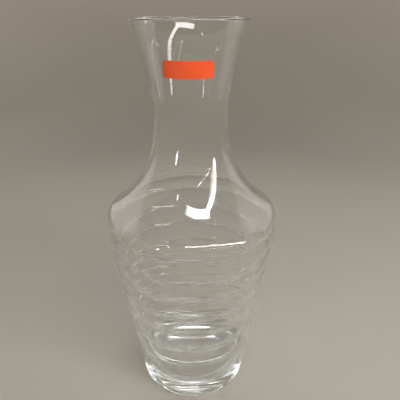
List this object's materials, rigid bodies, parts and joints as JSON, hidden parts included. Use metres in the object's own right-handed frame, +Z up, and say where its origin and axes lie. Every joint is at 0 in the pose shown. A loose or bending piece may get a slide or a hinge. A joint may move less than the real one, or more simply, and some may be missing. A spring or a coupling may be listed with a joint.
{
  "type": "glass carafe",
  "caption": "Clear glass carafe with a heavy foot, a tapering body with soft horizontal rings, a slim neck, a turned-out lip and a plain label on the neck.",
  "frame": {"origin": "middle of the foot, on the table", "axes": "+Z up along the carafe's axis; the label faces -Y"},
  "size_m": [0.117, 0.117, 0.265],
  "materials": {
    "clear_glass": "clear, colourless and fire-polished",
    "label_film": "smooth printed film, orange-red"
  },
  "bodies": {
    "root": {"glass_vessel": "clear_glass", "neck_label": "label_film"}
  },
  "joints": []
}
